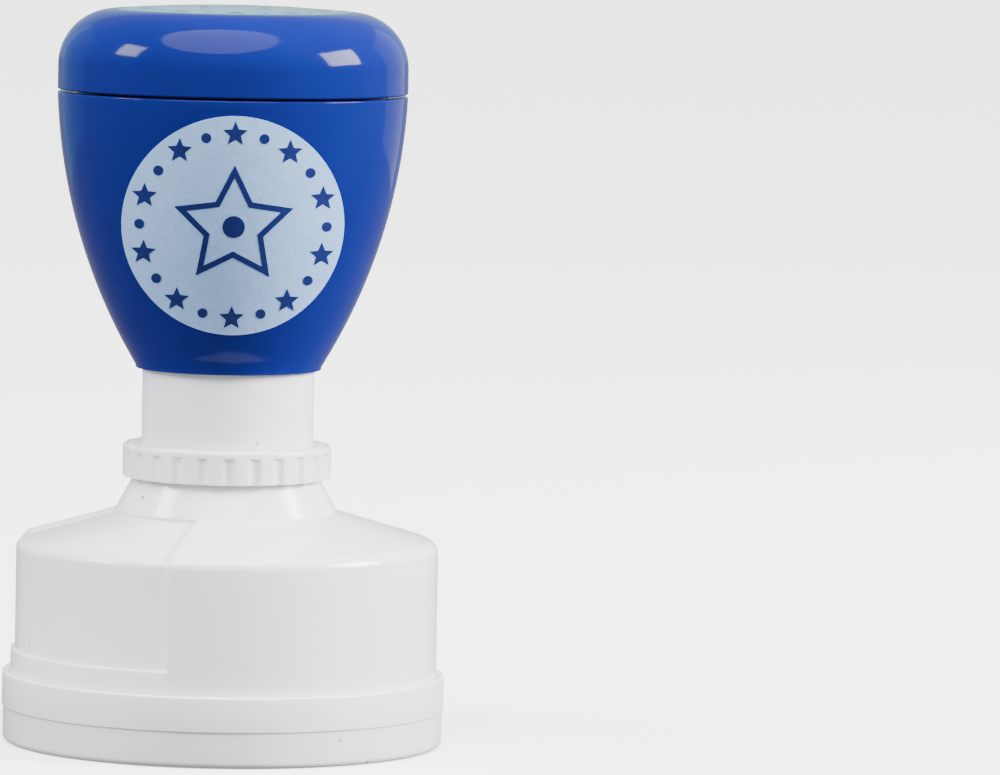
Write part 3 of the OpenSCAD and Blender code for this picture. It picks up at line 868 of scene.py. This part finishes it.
# %% Turn the deck, the tube and the plug
deck = turned("spring_deck", [
    (1.93, rod_top - 6.5), (2.53, rod_top - 6.5), (2.53, boss_z, 0.1), (5.2, boss_z, 0.2),
    (5.2, deck_bottom, 0.3),
    (deck_r, deck_bottom, 0.15), (deck_r, deck_top, 0.2), (1.93, deck_top, 0.1),
], closed=True)
install(deck, "handle", "handle_deck", BLUE)
tube = turned("feed_tube", [
    (1.1, rod_z, 0.1), (rod_r, rod_z, 0.3), (rod_r, rod_top - 6.5, 0.15), (1.9, rod_top - 6.5, 0.1),
    (1.9, rod_top, 0.2), (1.1, rod_top, 0.2),
], closed=True, steps=96)
install(tube, "handle", "plunger_tube", INNER_WHITE)
plug = turned("ink_plug", [
    (0, plug_top - 0.15), (1.5, plug_top - 0.15, 0.1), (1.7, plug_top, 0.1), (plug_r, plug_top, 0.25),
    (plug_r, rod_top, 0.12), (1.05, rod_top, 0.1), (1.05, plug_z, 0.3), (0, plug_z),
], steps=96)
install(plug, "plug", "refill_plug", INNER_WHITE)

# %% [markdown]
# ### Nut and washer
# The nut is turned first and then cut to its six flats, which is how bar stock is made into nuts and leaves
# their corners chamfered. Drawn steel is bright, with fine scratches that a high-scale ripple stands for.

# %% Make the steel, turn the washer and cut the nut
STEEL, tree, shader = material("steel", Metallic=1.0)
shader.inputs["Base Color"].default_value = (0.56, 0.56, 0.57, 1)
haze = use(tree, HAZE, Scale=300.0, Low=0.18, High=0.34)
skin = use(tree, RIPPLE, Scale=2400.0, Height=0.12)
wire(tree, (haze.outputs["Roughness"], shader.inputs["Roughness"]),
     (skin.outputs["Normal"], shader.inputs["Normal"]))
spring_washer = turned("thrust_washer", [
    (2.58, spring_top, 0.06), (5.2, spring_top, 0.06), (5.2, boss_z, 0.06), (2.58, boss_z, 0.06),
], closed=True, steps=96)
install(spring_washer, "handle", "spring_washer", STEEL)
nut_low, nut_high = (c.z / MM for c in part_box("rod_nut"))
nut = turned("hex_nut", [
    (1.93, nut_low, 0.15), (3.5, nut_low), (4.04, nut_low + 0.28), (4.04, nut_high - 0.28), (3.5, nut_high),
    (1.93, nut_high, 0.15),
], closed=True, steps=96)
edit(nut)
for k in range(6):
    a = math.radians(60 * k + 30)
    bpy.ops.mesh.select_all(action="SELECT")
    bpy.ops.mesh.bisect(plane_co=(3.5 * MM * math.cos(a), 3.5 * MM * math.sin(a), 0),
                        plane_no=(math.cos(a), math.sin(a), 0), use_fill=True, clear_outer=True)
deselect()
smooth(nut, 20)
install(nut, "handle", "rod_nut", STEEL)

# %% [markdown]
# ## The return spring
# Spring wire is coiled with a dead turn lying flat at each end, so that the spring stands square. The
# wire's path is drawn by extruding a point along the helix, and made round as a curve.

# %% Coil the spring
WIRE_R = 0.39
COIL_R = coil_r - WIRE_R
low, high = shelf_top + WIRE_R + 0.01, spring_top - WIRE_R - 0.01
dead = 2 * WIRE_R + 0.02
path = []
for k in range(7 * 36 + 1):
    t = k / 36
    if t < 1:
        z = low + dead * t
    elif t > 6:
        z = high - dead * (7 - t)
    else:
        z = low + dead + (high - low - 2 * dead) * (t - 1) / 5
    path.append(Vector((COIL_R * math.cos(2 * math.pi * t), COIL_R * math.sin(2 * math.pi * t), z)) * MM)
spring = drawn("coil_spring", path)
deselect()
spring.select_set(True)
bpy.ops.object.convert(target="CURVE")
spring = bpy.context.object
spring.data.bevel_depth = WIRE_R * MM
spring.data.bevel_resolution = 3
spring.data.use_fill_caps = True
bpy.ops.object.convert(target="MESH")
spring = bpy.context.object
smooth(spring, 50)
install(spring, "shell", "return_spring", STEEL)
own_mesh(spring)

# %% [markdown]
# ## The die holder
# The holder is a cup that keeps the foam and the die, with a ribbed hub that screws on to the tube. The
# ribs stiffen a thin plate without the sink marks that a thick one would show. One rib is shaped from a
# block by raising its inner end, and copied round.

# %% Turn the holder and set its ribs
plate_top = rod_z
holder = turned("die_cup", [
    (1.1, plate_z, 0.1), (holder_r - 1.1, plate_z, 0.3), (holder_r - 1.1, cup_z, 0.1),
    (holder_r, cup_z, 0.15),
    (holder_r, plate_top, 0.3), (4.2, plate_top, 0.4), (4.2, hub_top, 0.3), (2.53, hub_top, 0.2),
    (2.53, plate_top),
    (1.1, plate_top),
], closed=True)
rib_low, rib_high = plate_top - 0.2, plate_top + 0.3
deselect()
bpy.ops.mesh.primitive_cube_add(size=1)
rib = new_piece("rib")
edit(rib)
bpy.ops.mesh.select_all(action="SELECT")
bpy.ops.transform.resize(value=(7.7 * MM, 0.9 * MM, (rib_high - rib_low) * MM), center_override=(0, 0, 0))
bpy.ops.transform.translate(value=(7.85 * MM, 0, (rib_low + rib_high) / 2 * MM))
pick(rib, "verts", lambda m, v: m.x < 5 and m.z > rib_low + 0.2)
bpy.ops.transform.translate(value=(0.8 * MM, 0, (hub_top - 2.4 - rib_high) * MM))
deselect()
soften(rib, 0.12, 2)
ribs = []
for k in range(6):
    copy = rib.copy()
    copy.data = rib.data.copy()
    bpy.context.collection.objects.link(copy)
    edit(copy)
    bpy.ops.mesh.select_all(action="SELECT")
    bpy.ops.transform.rotate(value=math.radians(60 * k + 30), orient_axis="Z", center_override=(0, 0, 0))
    deselect()
    ribs.append(copy)
bpy.data.objects.remove(rib)
holder = join([holder, *ribs])
install(holder, "handle", "die_holder", INNER_WHITE)

# %% [markdown]
# ## The foam pad
# Ink waits in a foam pad and soaks down through the porous rubber die, so the die never needs an ink pad.
# The pad's skin is open and uneven, which a displacement of fine noise gives.

# %% Make the foam pad
foam = turned("ink_pad", [
    (0, foam_z + 0.04), (foam_r - 0.6, foam_z + 0.04), (foam_r - 0.06, foam_z + 0.06, 0.4),
    (foam_r - 0.06, foam_top - 0.06, 0.4), (foam_r - 0.6, foam_top - 0.04), (0, foam_top - 0.04),
], steps=96)
edit(foam)
bpy.ops.mesh.select_all(action="SELECT")
bpy.ops.mesh.subdivide(number_cuts=3)
deselect()
pores = bpy.data.textures.new("pores", "CLOUDS")
pores.noise_scale = 0.0006
apply_modifier(foam, "DISPLACE", texture=pores, strength=0.06 * MM, mid_level=0.9, texture_coords="LOCAL")
FOAM, tree, shader = material("foam", Roughness=0.75)
place = node(tree, "TexCoord")
cell = node(tree, "TexVoronoi", Scale=1800.0)
tone = node(tree, "Mix", data_type="RGBA")
tone.inputs["A"].default_value = (0.006, 0.015, 0.10, 1)
tone.inputs["B"].default_value = (0.03, 0.09, 0.42, 1)
skin = use(tree, RIPPLE, Scale=2600.0, Height=0.6)
wire(tree, (place.outputs["Object"], cell.inputs["Vector"]),
     (cell.outputs["Distance"], tone.inputs["Factor"]),
     (tone.outputs["Result"], shader.inputs["Base Color"]), (skin.outputs["Normal"], shader.inputs["Normal"]))
install(foam, "handle", "ink_foam", FOAM)

# %% [markdown]
# ## The die
# The die is moulded in porous rubber. It prints a star in a ring of dots, and its relief is low with
# rounded shoulders, so that only its flat tops print. The flat marks drawn for the badge serve here too:
# they are raised by one extrusion, and the edges of their tops are bevelled.

# %% Mould the die
die_r = 11
relief_top = face_z + 0.42
die = turned("die_pad", [
    (0, relief_top), (die_r - 1.36, relief_top, 0.05), (die_r - 1.3, face_z, 0.06),
    (die_r - 0.5, face_z, 0.06),
    (die_r - 0.44, relief_top, 0.02), (die_r - 0.4, relief_top, 0.05), (die_r - 0.4, face_z + 0.8, 0.08),
    (flange_r, face_z + 0.8, 0.1), (flange_r, base_top, 0.15), (0, base_top),
])
star = outline(10, die_r - 4.6, 3.2, 0.47)
marks = [star]
for k in range(10):
    a = math.radians(36 * k)
    reach = die_r - (2.9 if k % 2 == 0 else 3.8)
    marks.append(loop(32, 0.6 if k % 2 == 0 else 1.0, fill="NGON",
                      at=(reach * math.sin(a), reach * math.cos(a))))
relief = join(marks)
edit(relief)
bpy.ops.mesh.select_all(action="SELECT")
bpy.ops.transform.translate(value=(0, 0, (relief_top + 0.1) * MM))
bpy.ops.mesh.normals_make_consistent(inside=False)
bpy.ops.mesh.extrude_region_move(TRANSFORM_OT_translate={"value": (0, 0, (face_z - relief_top - 0.1) * MM)})
pick(relief, "edges", lambda m, e: m.z < face_z + 0.01 and e.calc_face_angle(0) > math.radians(50))
bpy.ops.mesh.bevel(offset=0.06 * MM, segments=2, affect="EDGES")
bpy.ops.mesh.select_all(action="SELECT")
bpy.ops.mesh.normals_make_consistent(inside=False)
deselect()
smooth(relief)
die = join([die, relief])
RUBBER, tree, shader = material("die_rubber", IOR=1.5)
place = node(tree, "TexCoord")
stain = node(tree, "TexNoise", Scale=700.0, Detail=6.0, Roughness=0.65)
tone = node(tree, "Mix", data_type="RGBA")
tone.inputs["A"].default_value = (0.008, 0.022, 0.17, 1)
tone.inputs["B"].default_value = (0.035, 0.085, 0.40, 1)
haze = use(tree, HAZE, Scale=260.0, Low=0.38, High=0.6)
skin = use(tree, RIPPLE, Scale=2200.0, Height=0.25)
wire(tree, (place.outputs["Object"], stain.inputs["Vector"]), (stain.outputs["Fac"], tone.inputs["Factor"]),
     (tone.outputs["Result"], shader.inputs["Base Color"]),
     (haze.outputs["Roughness"], shader.inputs["Roughness"]),
     (skin.outputs["Normal"], shader.inputs["Normal"]))
install(die, "handle", "stamp_die", RUBBER)

# %% [markdown]
# ## The die's frame
# A thin turned frame reaches over the die's flange and round the holder, and clips the two together.

# %% Turn the frame that clips the die in place
clip = turned("clip_frame", [
    (die_r + 0.1, frame_z, 0.12), (frame_r, frame_z, 0.25), (frame_r, plate_z, 0.15),
    (holder_r + 0.03, plate_z, 0.1),
    (holder_r + 0.03, frame_z + 0.6, 0.08), (die_r + 0.1, frame_z + 0.6, 0.1),
], closed=True)
install(clip, "handle", "die_frame", INNER_WHITE)

# %% [markdown]
# ## Floor and light
# The stamp stands on a plain pale floor under soft studio light. Glossy turned shapes show their form only
# in what they reflect, so there is a soft box on each side, a weak one behind each edge of the handle and a
# cool one far behind that the lens mirrors. A wide sun lights the top of everything evenly. The floor glows
# faintly, like a light table, and is kept out of mirror reflections and bounced light, because pale light
# from below would wash out the blue and flatten the white.

# %% Build the floor and the lights


def softbox(name, place, size, watts, colour=(1, 1, 1)):
    """An area light aimed at the stamp's middle."""
    deselect()
    bpy.ops.object.light_add(type="AREA", location=place)
    lamp = bpy.context.object
    lamp.name = name
    lamp.data.shape = "RECTANGLE"
    lamp.data.size, lamp.data.size_y = size
    lamp.data.energy = watts
    lamp.data.color = colour
    lamp.rotation_mode = "QUATERNION"
    lamp.rotation_quaternion = (Vector(place) - Vector((0, 0, 0.032))).to_track_quat("Z", "Y")
    return lamp


deselect()
bpy.ops.mesh.primitive_plane_add(size=6)
floor = new_piece("floor")
FLOOR, tree, shader = material("floor_paint", Roughness=0.55, Specular_IOR_Level=0.2)
place = node(tree, "TexCoord")
mottle = node(tree, "TexNoise", Scale=3.0, Detail=2.0)
tone = node(tree, "Mix", data_type="RGBA")
tone.inputs["A"].default_value = (0.86, 0.86, 0.86, 1)
tone.inputs["B"].default_value = (0.89, 0.89, 0.89, 1)
wire(tree, (place.outputs["Object"], mottle.inputs["Vector"]), (mottle.outputs["Fac"], tone.inputs["Factor"]),
     (tone.outputs["Result"], shader.inputs["Base Color"]))
shader.inputs["Emission Color"].default_value = (1, 1, 1, 1)
shader.inputs["Emission Strength"].default_value = 1.4
floor.data.materials.append(FLOOR)
floor.visible_glossy = floor.visible_diffuse = False
floor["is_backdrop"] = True

world = bpy.data.worlds.new("studio")
world.use_nodes = True
world.node_tree.nodes["Background"].inputs["Color"].default_value = (1.0, 1.0, 1.0, 1)
world.node_tree.nodes["Background"].inputs["Strength"].default_value = 0.42
bpy.context.scene.world = world
softbox("right", (0.62, -0.12, 0.32), (0.32, 0.26), 19.0)
softbox("left", (-0.64, -0.11, 0.42), (0.22, 0.22), 6.5)
softbox("edge_right", (0.30, 0.30, 0.12), (0.26, 0.30), 0.25, (0.80, 0.86, 1.0))
softbox("edge_left", (-0.30, 0.30, 0.12), (0.30, 0.30), 0.14, (0.10, 0.75, 1.0))
softbox("back", (0, 2.3, 0.62), (2.6, 1.1), 3.5, (0.30, 0.80, 1.0))
deselect()
bpy.ops.object.light_add(type="SUN")
sun = bpy.context.object
sun.rotation_mode = "QUATERNION"
sun.rotation_quaternion = Vector((-0.13, -0.385, 0.914)).to_track_quat("Z", "Y")
sun.name = "overhead"
sun.data.energy = 7.5
sun.data.angle = math.radians(58)

# %% [markdown]
# ## The camera
# A long lens seen from a little above keeps the turned shapes nearly flat-on, with a thin ellipse for each
# rim. It is aimed to the right of the stamp, which leaves open floor there, and rolled by about a degree.

# %% Set up the camera
deselect()
bpy.ops.object.camera_add(location=(-0.0105, -0.6009, 0.078))
camera = bpy.context.object
camera.name = "camera"
camera.data.sensor_width = 36
camera.data.lens = 272.2
camera.data.clip_start, camera.data.clip_end = 0.05, 20
camera.data.dof.use_dof = False
camera.rotation_mode = "QUATERNION"
aim = Vector((0.0217, 0, 0.0287))
level = (aim - camera.location).to_track_quat("-Z", "Y")
camera.rotation_quaternion = level @ Quaternion((0, 0, 1), math.radians(1.15))
bpy.context.scene.camera = camera
print("camera at", [round(v, 4) for v in camera.location])

# %% [markdown]
# ## The size of what was made
# The box of everything made here is printed in millimetres, to set against the size of the CAD model.

# %% Print the visual box
low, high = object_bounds()
print("visual box:", [round(v / MM, 2) for v in (*low, *high)])
